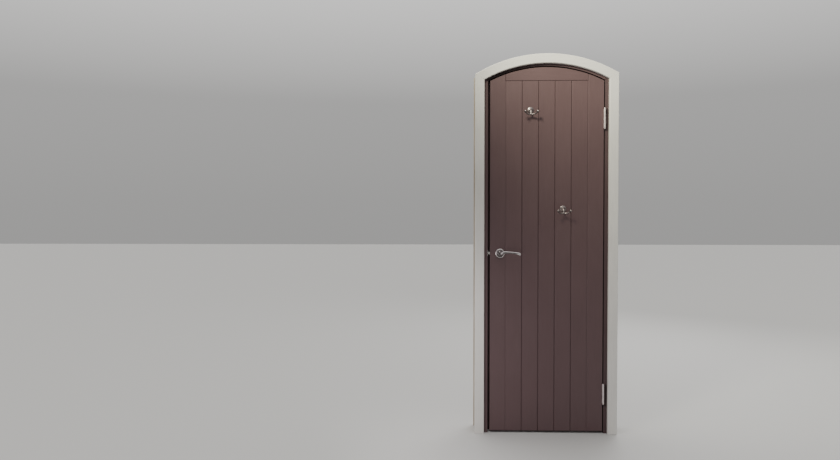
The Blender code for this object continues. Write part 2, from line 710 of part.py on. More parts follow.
def ball_mesh():
    angles = [-math.pi / 2 + math.pi * i / BALL_STEPS for i in range(BALL_STEPS + 1)]
    profile = [(HOOK_BALL_RADIUS * math.cos(a), HOOK_BALL_RADIUS * math.sin(a)) for a in angles]
    mesh = turned_mesh("ball", profile, ROD_STEPS, "z")
    mesh.shade_smooth()
    return mesh


def make_coat_hooks(leaf, chrome):
    """Double robe hooks: a domed rose and a stem that forks into two arms, a ball on each."""
    dome = [(0, SEAT), (HOOK_ROSE_RADIUS, SEAT)]
    for i in range(DOME_STEPS + 1):
        angle = math.pi / 2 * i / DOME_STEPS
        rise = (HOOK_ROSE_HEIGHT - HOOK_ROSE_EDGE) * math.sin(angle)
        dome.append((HOOK_ROSE_RADIUS * math.cos(angle), HOOK_ROSE_EDGE + rise))
    for name, (board, height) in HOOK_PLACES.items():
        place = Vector((-STILE_INNER + (board - 1 / 2) * BOARD_PITCH, 0, height))
        hook = piece(name, turned_mesh(name, dome, ROUND_STEPS, "-y"), leaf, chrome, place)
        stem = rod_mesh("stem", hook_stem, hook_stem_radius, 0, STEM_STATIONS, (1, 0, 0))
        combine(hook, stem, "UNION", place)
        arms = rod_mesh("arms", hook_arm, hook_arm_radius, -1, HOOK_STATIONS, (0, 1, 0))
        combine(hook, arms, "UNION", place)
        for tip in (-1, 1):
            combine(hook, ball_mesh(), "UNION", place + hook_arm(tip))


def make_door_set():
    clear_scene()
    paint = surface("mauve_paint", (0.155, 0.103, 0.106), 0.42)
    white = surface("white_paint", (0.78, 0.76, 0.73), 0.45)
    chrome = surface("polished_chrome", (0.78, 0.77, 0.76), 0.12, 1.0)
    steel = surface("bright_steel", (0.62, 0.61, 0.60), 0.25, 1.0)

    frame = empty("door_set", Vector((0, 0, 0)))
    origin = Vector((HINGE_FACE + JAMB_THICKNESS, FRAME_DEPTH / 2, FIXING_HEIGHT))
    frame.location = -origin
    leaf = empty("leaf_pivot", PIVOT, frame)
    lever = empty("lever_pivot", SPINDLE, leaf, PIVOT)
    bolt = empty("bolt_slide", SPINDLE, leaf, PIVOT)

    latch_stile, hinge_stile = make_stiles(leaf, paint)
    make_boards(leaf, paint)
    make_top_rail(leaf, paint)
    spans = make_back_rails(leaf, paint)
    make_braces(leaf, paint, spans)
    latch_jamb, hinge_jamb = make_frame(frame, paint, white)
    make_hinges(frame, leaf, hinge_stile, hinge_jamb, steel)
    make_latch_case(leaf, latch_stile, steel)
    make_latch_bolt(bolt, steel)
    make_strike(frame, latch_jamb, steel)
    make_levers(leaf, lever, chrome, steel)
    make_coat_hooks(leaf, chrome)


make_door_set()
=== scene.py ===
"""Looks of the arched boarded door set: finishes, fine ironmongery, camera, light and floor."""

import math

import bmesh
import bpy
import numpy as np
from mathutils import Matrix, Vector


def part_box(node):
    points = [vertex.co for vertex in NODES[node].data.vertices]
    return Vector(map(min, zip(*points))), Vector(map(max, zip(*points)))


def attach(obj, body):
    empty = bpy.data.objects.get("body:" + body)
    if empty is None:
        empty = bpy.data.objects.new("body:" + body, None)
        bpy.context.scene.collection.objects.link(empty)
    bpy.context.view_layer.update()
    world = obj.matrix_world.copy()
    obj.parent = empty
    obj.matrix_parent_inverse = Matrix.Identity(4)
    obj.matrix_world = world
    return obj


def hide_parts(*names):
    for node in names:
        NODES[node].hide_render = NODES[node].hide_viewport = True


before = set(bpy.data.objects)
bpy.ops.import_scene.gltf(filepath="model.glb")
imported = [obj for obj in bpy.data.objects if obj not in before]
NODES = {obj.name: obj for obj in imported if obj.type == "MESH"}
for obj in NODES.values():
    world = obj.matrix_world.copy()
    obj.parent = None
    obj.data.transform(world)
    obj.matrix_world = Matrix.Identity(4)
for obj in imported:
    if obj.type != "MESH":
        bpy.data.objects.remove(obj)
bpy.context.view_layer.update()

# Datums read from the solids: the leaf's centre line, its faces, the floor and the spindle
BOARD_COUNT = 5
LEAF_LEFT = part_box("latch_stile")[0].x
LEAF_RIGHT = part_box("hinge_stile")[1].x
LEAF_X = (LEAF_LEFT + LEAF_RIGHT) / 2
FACE_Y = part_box("latch_stile")[0].y
BACK_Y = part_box("latch_stile")[1].y
FLOOR_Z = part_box("latch_jamb")[0].z
LEAF_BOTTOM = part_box("latch_stile")[0].z
SPINDLE = (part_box("spindle")[0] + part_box("spindle")[1]) / 2
BOARDS_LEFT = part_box("latch_stile")[1].x
BOARDS_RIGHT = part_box("hinge_stile")[0].x
BOARD_PITCH = (BOARDS_RIGHT - BOARDS_LEFT) / BOARD_COUNT
SPRING_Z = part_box("board_1")[1].z

# Clearance that keeps an added piece off the solid it stands on
SEAT = 0.0003

# Linear colours
MAUVE = (0.125, 0.079, 0.082)
WHITE = (0.78, 0.76, 0.72)
CHROME = (0.92, 0.85, 0.86)
HOOK_METAL = (0.37, 0.32, 0.31)
STEEL = (0.66, 0.65, 0.63)
HINGE_PLATE = (0.86, 0.78, 0.78)
PINE_LIGHT = (0.56, 0.49, 0.40)
PINE_DARK = (0.44, 0.36, 0.27)

LEVELS = ("upper", "lower")
LEAF_UPRIGHTS = ["latch_stile", "hinge_stile"] + [f"board_{i + 1}" for i in range(BOARD_COUNT)]
LEAF_RAILS = ["top_rail", "middle_rail", "bottom_rail"]
BRACES = ["lower_brace", "upper_brace"]
FRAME_UPRIGHTS = ["latch_jamb", "hinge_jamb", "latch_stop", "hinge_stop"]
FRAME_ARCHES = ["head_jamb", "head_stop"]
ARCHITRAVES = [f"{place}_{side}_architrave" for place in ("latch", "hinge", "head")
               for side in ("front", "rear")]
STEEL_NODES = [f"{level}_hinge_{part}" for level in LEVELS for part in ("leaf_flap", "jamb_flap", "pin")]
STEEL_NODES += ["strike_plate", "latch_case", "latch_bolt", "spindle"]


# Node trees

class Graph:
    """A node tree, with a method for each kind of node that the finishes use."""

    def __init__(self, tree):
        self.nodes = tree.nodes
        self.links = tree.links

    def feed(self, socket, value):
        """Links another node's output, or sets a constant."""
        if isinstance(value, bpy.types.NodeSocket):
            self.links.new(value, socket)
        else:
            socket.default_value = value

    def node(self, kind, inputs, **settings):
        item = self.nodes.new(kind)
        for name, value in settings.items():
            setattr(item, name, value)
        for name, value in inputs.items():
            self.feed(item.inputs[name], value)
        return item

    def split(self, output):
        """The X, Y and Z of the object's own coordinates, of its normals or of a direction."""
        source = self.node("ShaderNodeTexCoord", {})
        parts = self.node("ShaderNodeSeparateXYZ", {"Vector": source.outputs[output]})
        return parts.outputs["X"], parts.outputs["Y"], parts.outputs["Z"]

    def coordinates(self, scale=(1, 1, 1), turn=(0, 0, 0), shift=(0, 0, 0)):
        """Object space coordinates after a mapping."""
        source = self.node("ShaderNodeTexCoord", {})
        mapping = {"Scale": scale, "Rotation": turn, "Location": shift, "Vector": source.outputs["Object"]}
        return self.node("ShaderNodeMapping", mapping).outputs["Vector"]

    def noise(self, vector, scale, detail, roughness=0.55, distortion=0.0):
        inputs = {"Vector": vector, "Scale": scale, "Detail": detail, "Roughness": roughness,
                  "Distortion": distortion}
        return self.node("ShaderNodeTexNoise", inputs).outputs["Fac"]

    def spread(self, value, low, high, from_low=0.3, from_high=0.7):
        """A value carried from one range to another, held at both ends."""
        inputs = {"Value": value, "From Min": from_low, "From Max": from_high, "To Min": low, "To Max": high}
        return self.node("ShaderNodeMapRange", inputs).outputs["Result"]

    def maths(self, operation, *values):
        item = self.node("ShaderNodeMath", {}, operation=operation)
        for socket, value in zip(item.inputs, values):
            self.feed(socket, value)
        return item.outputs["Value"]

    def plus(self, first, *others):
        for other in others:
            first = self.maths("ADD", first, other)
        return first

    def times(self, first, *others):
        for other in others:
            first = self.maths("MULTIPLY", first, other)
        return first

    def mixed(self, factor, first, second):
        """A colour between two, each a tuple or a socket."""
        colours = [(*colour, 1.0) if isinstance(colour, tuple) else colour for colour in (first, second)]
        inputs = {"Factor": factor, "A": colours[0], "B": colours[1]}
        return self.node("ShaderNodeMix", inputs, data_type="RGBA").outputs["Result"]

    def bump(self, height, distance, strength):
        inputs = {"Height": height, "Distance": distance, "Strength": strength}
        return self.node("ShaderNodeBump", inputs).outputs["Normal"]


def new_material(name):
    """A material, its node tree and its shader node."""
    material = bpy.data.materials.new(name)
    material.use_nodes = True
    return material, Graph(material.node_tree), material.node_tree.nodes["Principled BSDF"]


def scaled(colour, factor):
    return tuple(min(1.0, c * factor) for c in colour)


def grain_scale(axis):
    """Coordinates drawn out along the grain."""
    return {"x": (0.05, 1, 1), "z": (1, 1, 0.05)}[axis]


# Bare faces, and painted shade on the paint

SQUARE_ON = 0.9
ARCH_TOP_SLOPE = 0.5

# Where the painted shade of the vee joints lies, as a depth and as shares of a board's width
JOINT_DEPTH = 0.006
JOINT_DARK_SHARE = 0.012
JOINT_CLEAR_SHARE = 0.045

# Painted shade as shares of full darkness, and the depths and heights between which it fades
RIM_SHADE = 0.9
RIM_WIDTH = 0.0012
RIM_FROM, RIM_BY = 0.001, 0.006
GAP_FROM, GAP_BY = 0.010, 0.022
FOOT_FROM, FOOT_BY = 0.002, 0.007
HINGE_SHADOW = 0.68
HINGE_SHADOW_DROP = 0.008
HINGE_SHADOW_FADE = 0.010
HINGE_SIDE_SHADE = 0.32
LATCH_SIDE_SHADE = 0.3
LATCH_SIDE_FROM, LATCH_SIDE_BY = 1.1, 1.9
ARCH_LATCH_SHADE, ARCH_HINGE_SHADE = 0.8, 0.2
ARCH_FROM, ARCH_BY = 0.05, 0.16


def built_in_faces(graph, kind):
    """1 on the faces left unpainted: a jamb's outer face, the arch's top or an architrave's back."""
    x, y, _ = graph.split("Object")
    normal_x, normal_y, normal_z = graph.split("Normal")
    if kind == "arch":
        return graph.maths("GREATER_THAN", normal_z, ARCH_TOP_SLOPE)
    if kind == "architrave":
        front = graph.maths("LESS_THAN", y, 0.0)
        sign = graph.maths("SUBTRACT", graph.times(front, 2.0), 1.0)
        return graph.maths("GREATER_THAN", graph.times(normal_y, sign), SQUARE_ON)
    outward = graph.maths("SIGN", graph.maths("SUBTRACT", x, LEAF_X))
    return graph.maths("GREATER_THAN", graph.times(outward, normal_x), SQUARE_ON)


def joint_shade(graph):
    """Painted shade: 1 along the vee joints of the leaf's face, fading over a few millimetres."""
    x, y, z = graph.split("Object")
    steps = graph.maths("DIVIDE", graph.maths("SUBTRACT", x, BOARDS_LEFT), BOARD_PITCH)
    away = graph.maths("ABSOLUTE", graph.maths("SUBTRACT", steps, graph.maths("ROUND", steps)))
    line = graph.spread(away, 1.0, 0.0, JOINT_DARK_SHARE, JOINT_CLEAR_SHARE)
    on_face = graph.maths("LESS_THAN", y, FACE_Y + JOINT_DEPTH)
    below_rail = graph.maths("LESS_THAN", z, SPRING_Z)
    return graph.times(line, on_face, below_rail)


def front_of_gap(graph, y):
    """1 by the leaf's face, fading to 0 deeper in the gap round the leaf."""
    return graph.spread(y, 1.0, 0.0, FACE_Y + GAP_FROM, FACE_Y + GAP_BY)


def leaf_grime(graph):
    """Painted shade on the front of the leaf's edges, where the gap round the leaf is dark, and along its
    foot, where the gap under it is.
    """
    x, y, z = graph.split("Object")
    outside = graph.maths("ABSOLUTE", graph.maths("SUBTRACT", x, LEAF_X))
    rim = graph.maths("GREATER_THAN", outside, LEAF_RIGHT - LEAF_X - RIM_WIDTH)
    behind = graph.spread(y, 0.0, RIM_SHADE, FACE_Y + RIM_FROM, FACE_Y + RIM_BY)
    rim = graph.times(rim, behind, front_of_gap(graph, y))
    foot = graph.spread(z, RIM_SHADE, 0.0, LEAF_BOTTOM + FOOT_FROM, LEAF_BOTTOM + FOOT_BY)
    return graph.maths("MAXIMUM", rim, foot)


def grime_beside_hinges(graph, z):
    """Painted shadow of each hinge's knuckles on the jamb beside them."""
    shade_mask = 0.0
    for pin in ("upper_hinge_pin", "lower_hinge_pin"):
        low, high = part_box(pin)
        middle = (low.z + high.z) / 2 - HINGE_SHADOW_DROP
        reach = (high.z - low.z) / 2
        away = graph.maths("ABSOLUTE", graph.maths("SUBTRACT", z, middle))
        patch = graph.spread(away, HINGE_SHADOW, 0.0, reach, reach + HINGE_SHADOW_FADE)
        shade_mask = graph.maths("MAXIMUM", shade_mask, patch)
    return shade_mask


def frame_grime(graph, kind):
    """Painted shade on the frame's side of the gap, and fainter painted shade on its front edge."""
    x, y, z = graph.split("Object")
    facing = graph.maths("LESS_THAN", graph.split("Normal")[1], -0.5)
    inside = graph.times(graph.maths("SUBTRACT", 1.0, facing), front_of_gap(graph, y), RIM_SHADE)
    if kind == "arch":
        edge = graph.spread(x, ARCH_LATCH_SHADE, ARCH_HINGE_SHADE, LEAF_LEFT + ARCH_FROM, LEAF_X + ARCH_BY)
    else:
        climb = graph.spread(z, 0.0, LATCH_SIDE_SHADE, FLOOR_Z + LATCH_SIDE_FROM, FLOOR_Z + LATCH_SIDE_BY)
        latch_side = graph.times(climb, graph.maths("LESS_THAN", x, LEAF_X))
        hinge_side = graph.maths("MAXIMUM", HINGE_SIDE_SHADE, grime_beside_hinges(graph, z))
        hinge_side = graph.times(hinge_side, graph.maths("GREATER_THAN", x, LEAF_X))
        edge = graph.maths("MAXIMUM", latch_side, hinge_side)
    return graph.maths("MAXIMUM", graph.times(facing, edge), inside)


# Painted wood

# Noises, as scale, detail, roughness and distortion
BRUSH_LINES = (190.0, 5.0, 0.6)
BROAD_GRAIN = (22.0, 3.0, 0.5, 0.6)
PAINT_TONE = (3.2, 3.0)
PAINT_PEEL = (850.0, 2.0)
PINE_FIBRE = (60.0, 5.0, 0.7)
PINE_RINGS = {"Scale": 9.0, "Distortion": 3.5, "Detail": 3.0}
PINE_STRETCH = 4

# How much each noise stands up in the coat
BRUSH_HEIGHT = 0.6
GRAIN_HEIGHT = 1.6
PEEL_HEIGHT = 0.22
PINE_HEIGHT = 0.5
PAINT_RELIEF = (0.00035, 0.7)

# Brightness of the coat as a share of its colour
THIN_COAT = 0.92
THICK_COAT = 1.07
# The darker coats in the joints and in the gaps are painted shade
JOINT_SHADE_COAT = 0.35
JOINT_SHADE_SHARE = 0.25
SHADED_COAT = 0.06

PAINT_ROUGHNESS = 0.46
ARCHITRAVE_ROUGHNESS = 0.42
BRUSH_ROUGHNESS = (-0.04, 0.05)
TONE_ROUGHNESS = (-0.03, 0.04)
PINE_ROUGHER = 0.35
# Change of roughness where shade is painted
LEAF_SHADE_ROUGHER = -0.25
FRAME_SHADE_ROUGHER = 0.5
MAUVE_SPECULAR = 0.3

# Where each family of timbers starts in the noise, so that no two families share one grain
GRAIN_SEEDS = {"leaf_upright": 3.1, "leaf_rail": 14.7, "brace": 21.3, "frame_upright": 31.9,
               "frame_arch": 41.2, "architrave": 51.4, "filler": 71.0, "bead": 77.0}


def bare_pine(graph, axis, seed):
    """Bare softwood: growth rings drawn out along the grain and broken up by fibres."""
    stretch = tuple(PINE_STRETCH * s for s in grain_scale(axis))
    vector = graph.coordinates(stretch, shift=(seed, seed * 0.7, seed * 0.3))
    rings = graph.node("ShaderNodeTexWave", {"Vector": vector, **PINE_RINGS}, wave_type="RINGS")
    fibre = graph.noise(vector, *PINE_FIBRE)
    grain = graph.times(rings.outputs["Fac"], graph.spread(fibre, 0.6, 1.0))
    return graph.mixed(grain, PINE_LIGHT, PINE_DARK), grain


def painted_wood(name, colour, axis, seed, unpainted=None, joints=False, turn=(0, 0, 0),
                 roughness=PAINT_ROUGHNESS, grime=None):
    """Brushed satin paint over softwood: brush lines and grain along the member, a little tone."""
    material, graph, shader = new_material(name)
    shift = (seed * 1.37, seed * 0.61, seed * 2.11)
    along = graph.coordinates(grain_scale(axis), turn, shift)
    plain = graph.coordinates(shift=shift)
    brush = graph.noise(along, *BRUSH_LINES)
    broad = graph.noise(along, *BROAD_GRAIN)
    tone = graph.noise(plain, *PAINT_TONE)
    peel = graph.noise(plain, *PAINT_PEEL)

    streak = graph.plus(graph.spread(brush, 0.0, 0.5), graph.spread(tone, 0.0, 0.5))
    coat = graph.mixed(streak, scaled(colour, THIN_COAT), scaled(colour, THICK_COAT))
    height = graph.plus(graph.times(brush, BRUSH_HEIGHT), graph.times(broad, GRAIN_HEIGHT),
                        graph.times(peel, PEEL_HEIGHT))
    rough = graph.plus(graph.spread(brush, roughness + BRUSH_ROUGHNESS[0], roughness + BRUSH_ROUGHNESS[1]),
                       graph.spread(tone, *TONE_ROUGHNESS))
    # Painted shade along the vee joints
    if joints:
        shade = graph.times(joint_shade(graph), JOINT_SHADE_SHARE)
        coat = graph.mixed(shade, coat, scaled(colour, JOINT_SHADE_COAT))
    # Painted shade by the gap round the leaf, under its foot, beside the hinges and on the frame's front
    # edge
    if grime:
        shade_mask = leaf_grime(graph) if grime == "leaf" else frame_grime(graph, grime)
        coat = graph.mixed(shade_mask, coat, scaled(colour, SHADED_COAT))
        rougher = LEAF_SHADE_ROUGHER if grime == "leaf" else FRAME_SHADE_ROUGHER
        rough = graph.plus(rough, graph.times(shade_mask, rougher))
    if unpainted:
        bare = built_in_faces(graph, unpainted)
        pine, grain = bare_pine(graph, axis, seed)
        coat = graph.mixed(bare, coat, pine)
        rough = graph.plus(rough, graph.times(bare, PINE_ROUGHER))
        height = graph.plus(height, graph.times(grain, bare, PINE_HEIGHT))
    graph.feed(shader.inputs["Base Color"], coat)
    graph.feed(shader.inputs["Roughness"], rough)
    graph.feed(shader.inputs["Normal"], graph.bump(height, *PAINT_RELIEF))
    if colour == MAUVE:
        shader.inputs["Specular IOR Level"].default_value = MAUVE_SPECULAR
    return material


# Plated metal

# Noises, as scale, detail, roughness and distortion
HAND_SMEARS = (45.0, 4.0, 0.65, 0.8)
POLISH_MARKS = (900.0, 2.0)
DISH_SPECKS = (190.0, 2.0)
DRAWN_LINES = (1400.0, 3.0)
STEEL_TONE = (60.0, 4.0)

# Least and most roughness, then the heights of the normal between which the painted shade underneath clears
ROSE_POLISH = (0.05, 0.13)
LEVER_POLISH = (0.05, 0.15)
HOOK_POLISH = (0.30, 0.42)
STEEL_POLISH = (0.20, 0.34)
HINGE_POLISH = (0.42, 0.52)
ROSE_UNDERSIDE = (-0.55, -0.05)
LEVER_UNDERSIDE = (0.05, 0.40)
HOOK_UNDERSIDE = (-0.5, 0.1)

# Painted shade: the share of the colour left underneath, in a rose's dish and round a lever's neck, and how
# it is mottled and roughened
SHADED_METAL = 0.07
SHADED_HOOK = 0.40
SHADE_ROUGHER = 0.12
TIP_SHADE_SHARE = 0.25
TIP_FROM, TIP_BY = 0.72, 0.90
DISH_FROM = 0.86
DISH_MOTTLE = (0.30, 0.80, 0.35, 0.65)
DISH_CLEARS = 0.8
# Smears of the hand, the steel's tone and the relief of the polish
SMEARED_CHROME = 0.95
DARK_STEEL, PALE_STEEL = 0.9, 1.05
POLISH_RELIEF = (0.00002, 0.4)
DRAWN_RELIEF = (0.00003, 0.5)


def polished_metal(name, colour, polish, seed, under, dish=None, tip=None, shaded=SHADED_METAL):
    """Plated metal with faint smears of the hand, and painted shade underneath and within a dish's radius.

    Towards a tip at that reach from the origin, the painted shade underneath clears again.
    """
    material, graph, shader = new_material(name)
    vector = graph.coordinates(shift=(seed, seed, seed))
    smear = graph.noise(vector, *HAND_SMEARS)
    fine = graph.noise(vector, *POLISH_MARKS)
    x, _, z = graph.split("Object")
    painted_dark = graph.spread(graph.split("Normal")[2], 1.0, 0.0, *under)
    if tip:
        painted_dark = graph.times(painted_dark, graph.spread(x, 1.0, TIP_SHADE_SHARE, tip * TIP_FROM, tip * TIP_BY))
    if dish:
        square = graph.plus(graph.maths("POWER", x, 2.0), graph.maths("POWER", z, 2.0))
        inside = graph.spread(graph.maths("SQRT", square), 1.0, 0.0, dish * DISH_FROM, dish)
        mottle = graph.spread(graph.noise(vector, *DISH_SPECKS), *DISH_MOTTLE)
        painted_dark = graph.maths("MAXIMUM", graph.times(painted_dark, DISH_CLEARS), graph.times(inside, mottle))
    clean = graph.mixed(graph.spread(smear, 0.0, 1.0), scaled(colour, SMEARED_CHROME), colour)
    rough = graph.plus(graph.spread(smear, *polish), graph.times(painted_dark, SHADE_ROUGHER))
    graph.feed(shader.inputs["Base Color"], graph.mixed(painted_dark, clean, scaled(colour, shaded)))
    graph.feed(shader.inputs["Roughness"], rough)
    graph.feed(shader.inputs["Normal"], graph.bump(fine, *POLISH_RELIEF))
    shader.inputs["Metallic"].default_value = 1.0
    return material


def brushed_metal(name, colour, seed=0.0, polish=STEEL_POLISH):
    """Plated steel with fine lines drawn upright."""
    material, graph, shader = new_material(name)
    drawn = graph.coordinates(grain_scale("z"), shift=(seed, seed, seed))
    lines = graph.noise(drawn, *DRAWN_LINES)
    tone = graph.spread(graph.noise(graph.coordinates(), *STEEL_TONE), 0.0, 1.0)
    plate = graph.mixed(tone, scaled(colour, DARK_STEEL), scaled(colour, PALE_STEEL))
    graph.feed(shader.inputs["Base Color"], plate)
    graph.feed(shader.inputs["Roughness"], graph.spread(lines, *polish))
    graph.feed(shader.inputs["Normal"], graph.bump(lines, *DRAWN_RELIEF))
    shader.inputs["Metallic"].default_value = 1.0
    return material


# Shape helpers

TURNED_STEPS = 96


def finished_mesh(name, shape):
    mesh = bpy.data.meshes.new(name)
    shape.to_mesh(mesh)
    shape.free()
    return mesh


def mesh_from_rings(name, rings, wrap=False):
    """A skin over rings of points, closed by caps or, if it wraps, by joining its last ring to its first."""
    shape = bmesh.new()
    loops = [[shape.verts.new(point) for point in ring] for ring in rings]
    pairs = list(zip(loops, loops[1:]))
    if wrap:
        pairs.append((loops[-1], loops[0]))
    for low, high in pairs:
        for i in range(len(low)):
            j = (i + 1) % len(low)
            shape.faces.new((low[i], low[j], high[j], high[i]))
    if not wrap:
        shape.faces.new(loops[0][::-1])
        shape.faces.new(loops[-1])
    bmesh.ops.remove_doubles(shape, verts=shape.verts, dist=1e-7)
    bmesh.ops.recalc_face_normals(shape, faces=shape.faces)
    return finished_mesh(name, shape)


def turned(name, profile, steps, axis):
    """A profile of (radius, height) turned about "-y", "y" or "z"."""
    rings = []
    for i in range(steps):
        angle = 2 * math.pi * i / steps
        ring = []
        for radius, height in profile:
            across, up = radius * math.cos(angle), radius * math.sin(angle)
            points = {"-y": (across, -height, up), "y": (across, height, up), "z": (across, up, height)}
            ring.append(points[axis])
        rings.append(ring)
    return mesh_from_rings(name, rings, wrap=True)


def arc(centre, radius, start, end, steps):
    """Points along an arc, as (radius, height), angles in degrees."""
    points = []
    for i in range(steps + 1):
        angle = math.radians(start + (end - start) * i / steps)
        points.append((centre[0] + radius * math.cos(angle), centre[1] + radius * math.sin(angle)))
    return points


def evaluated_mesh(item):
    """The mesh of an object after its modifiers."""
    return bpy.data.meshes.new_from_object(item.evaluated_get(bpy.context.evaluated_depsgraph_get()))


def new_object(name, data):
    item = bpy.data.objects.new(name, data)
    bpy.context.scene.collection.objects.link(item)
    return item


def add_piece(name, mesh, body, material, place=Vector((0, 0, 0)), replaces=(), sharp=40):
    """One finished piece, riding on its body and finished from its slot."""
    item = new_object(name, mesh)
    item.location = place
    mesh.materials.append(material)
    mesh.shade_smooth()
    mesh.set_sharp_from_angle(angle=math.radians(sharp))
    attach(item, body)
    for node in replaces:
        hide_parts(node)
    return item


# Rounded arrises on the solids, by modifiers alone

ARRIS_ANGLE = 30
SHARP_ANGLE = 50
FLAT_ANGLE = 0.2

LEAF_ARRIS = 0.0011
BOARD_ARRIS = 0.0006
FRAME_ARRIS = 0.0015
ARCHITRAVE_ARRIS = 0.0008
STEEL_ARRIS = 0.0003


def geometry_group(name):
    """An empty group of geometry nodes, its graph, where it starts and where it ends."""
    group = bpy.data.node_groups.new(name, "GeometryNodeTree")
    for way in ("INPUT", "OUTPUT"):
        group.interface.new_socket("Geometry", in_out=way, socket_type="NodeSocketGeometry")
    start = group.nodes.new("NodeGroupInput")
    end = group.nodes.new("NodeGroupOutput")
    return group, Graph(group), start.outputs[0], end.inputs[0]


def clearing_group():
    """Clears the imported normals and sharp marks, and joins corners that lie in one place."""
    group, graph, shape, end = geometry_group("clean_normals")
    for attribute in ("custom_normal", "sharp_edge", "sharp_face"):
        remove = graph.node("GeometryNodeRemoveAttribute", {"Name": attribute, "Geometry": shape})
        shape = remove.outputs["Geometry"]
    merge = graph.node("GeometryNodeMergeByDistance", {"Distance": 1e-5, "Geometry": shape})
    graph.feed(end, merge.outputs["Geometry"])
    return group


def shading_group():
    """Shades smooth, and leaves an edge sharp where its faces meet at a large angle."""
    group, graph, shape, end = geometry_group("shade_by_angle")
    angle = graph.node("GeometryNodeInputMeshEdgeAngle", {}).outputs["Unsigned Angle"]
    limit = {"A": angle, "B": math.radians(SHARP_ANGLE)}
    soft = graph.node("FunctionNodeCompare", limit, operation="LESS_THAN").outputs["Result"]
    faces = graph.node("GeometryNodeSetShadeSmooth", {"Geometry": shape}, domain="FACE")
    chosen = {"Geometry": faces.outputs["Geometry"], "Shade Smooth": soft}
    edges = graph.node("GeometryNodeSetShadeSmooth", chosen, domain="EDGE")
    graph.feed(end, edges.outputs["Geometry"])
    return group


CLEARING = clearing_group()
SHADING = shading_group()


def soften(node, width, segments=3):
    """Rounds the arrises of a solid from the frame."""
    item = NODES[node]
    clean = item.modifiers.new("clean", "NODES")
    clean.node_group = CLEARING
    flat = item.modifiers.new("planes", "DECIMATE")
    flat.decimate_type = "DISSOLVE"
    flat.angle_limit = math.radians(FLAT_ANGLE)
    round_off = item.modifiers.new("arrises", "BEVEL")
    round_off.width = width
    round_off.segments = segments
    round_off.limit_method = "ANGLE"
    round_off.angle_limit = math.radians(ARRIS_ANGLE)
    round_off.use_clamp_overlap = True
    shade = item.modifiers.new("shade", "NODES")
    shade.node_group = SHADING
    weighted = item.modifiers.new("normals", "WEIGHTED_NORMAL")
    weighted.keep_sharp = True


def finish_node(node, material):
    item = NODES[node]
    if not item.material_slots:
        item.data.materials.append(material)
    for holder in item.material_slots:
        holder.material = material


def finish_timber(node, colour, axis, seed, arris, **looks):
    """Paints one timber and rounds its arrises."""
    finish_node(node, painted_wood("paint_" + node, colour, axis, seed, **looks))
    soften(node, arris)


def finish_wood():
    for i, node in enumerate(LEAF_UPRIGHTS):
        arris = BOARD_ARRIS if node.startswith("board") else LEAF_ARRIS
        # The leaf's uprights carry painted shade in their joints, by the gap and along the foot
        finish_timber(node, MAUVE, "z", GRAIN_SEEDS["leaf_upright"] + i, arris, joints=True, grime="leaf")
    for i, node in enumerate(LEAF_RAILS):
        finish_timber(node, MAUVE, "x", GRAIN_SEEDS["leaf_rail"] + i, LEAF_ARRIS)
    for node in BRACES:
        low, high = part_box(node)
        slope = math.atan2(high.z - low.z, high.x - low.x)
        finish_timber(node, MAUVE, "x", GRAIN_SEEDS["brace"], LEAF_ARRIS, turn=(0, -slope, 0))
    for i, node in enumerate(FRAME_UPRIGHTS):
        # The jambs carry painted shade by the gap, on their front edges and beside the hinges
        looks = {"unpainted": "jamb", "grime": "jamb"} if node.endswith("jamb") else {}
        finish_timber(node, MAUVE, "z", GRAIN_SEEDS["frame_upright"] + i, FRAME_ARRIS, **looks)
    for i, node in enumerate(FRAME_ARCHES):
        # The head jamb carries painted shade by the gap and on its front edge
        looks = {"unpainted": "arch", "grime": "arch"} if node.endswith("jamb") else {}
        finish_timber(node, MAUVE, "x", GRAIN_SEEDS["frame_arch"] + i, FRAME_ARRIS, **looks)
    for i, node in enumerate(ARCHITRAVES):
        axis = "x" if node.startswith("head") else "z"
        finish_timber(node, WHITE, axis, GRAIN_SEEDS["architrave"] + i, ARCHITRAVE_ARRIS,
                      unpainted="architrave", roughness=ARCHITRAVE_ROUGHNESS)


def finish_steel():
    for node in STEEL_NODES:
        if "hinge" in node:
            steel = brushed_metal("steel_" + node, HINGE_PLATE, polish=HINGE_POLISH)
        else:
            steel = brushed_metal("steel_" + node, STEEL)
        finish_node(node, steel)
        soften(node, STEEL_ARRIS, 2)


# Paint that has filled the stiles' joints, and the bead planted on the latch side's stop

FILLED_DEPTH = 0.0012
VEE_DEPTH = 0.003
RAIL_FILLER_DEPTH = 0.002

BEAD_CLEARANCE = 0.0008
BEAD_WIDTH = 0.007
BEAD_CHAMFER = 0.0015
BEAD_HEAD_GAP = 0.012


def leaf_arch(x):
    """Height of the leaf's arched top at x from its centre line."""
    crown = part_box("top_rail")[1].z
    half = (LEAF_RIGHT - LEAF_LEFT) / 2
    rise = crown - SPRING_Z
    radius = (half ** 2 + rise ** 2) / (2 * rise)
    return crown - radius + math.sqrt(radius ** 2 - x ** 2)


def make_joint_filler():
    """The vee beside each stile is half full of old paint, and so is the joint beside the top rail."""
    half = VEE_DEPTH - FILLED_DEPTH
    section = [(-half, FILLED_DEPTH), (half, FILLED_DEPTH), (0.0, VEE_DEPTH)]
    for side, joint, inward in (("latch", BOARDS_LEFT, 1), ("hinge", BOARDS_RIGHT, -1)):
        rings = [[(joint + x, FACE_Y + y, z) for x, y in section]
                 for z in (LEAF_BOTTOM + SEAT, SPRING_Z - 2 * SEAT)]
        paint = painted_wood("paint_" + side + "_filler", MAUVE, "z", GRAIN_SEEDS["filler"] + inward)
        add_piece(side + "_joint_filler", mesh_from_rings("filler", rings), "leaf", paint)
        near, far = joint, joint + inward * SEAT
        low = SPRING_Z + VEE_DEPTH
        top = leaf_arch(joint - LEAF_X) - SEAT
        outline = [(near, low), (far, low), (far, top), (near, top)]
        rings = [[(x, FACE_Y + depth, z) for x, z in outline] for depth in (SEAT / 3, RAIL_FILLER_DEPTH)]
        add_piece(side + "_rail_filler", mesh_from_rings("filler", rings), "leaf", paint)


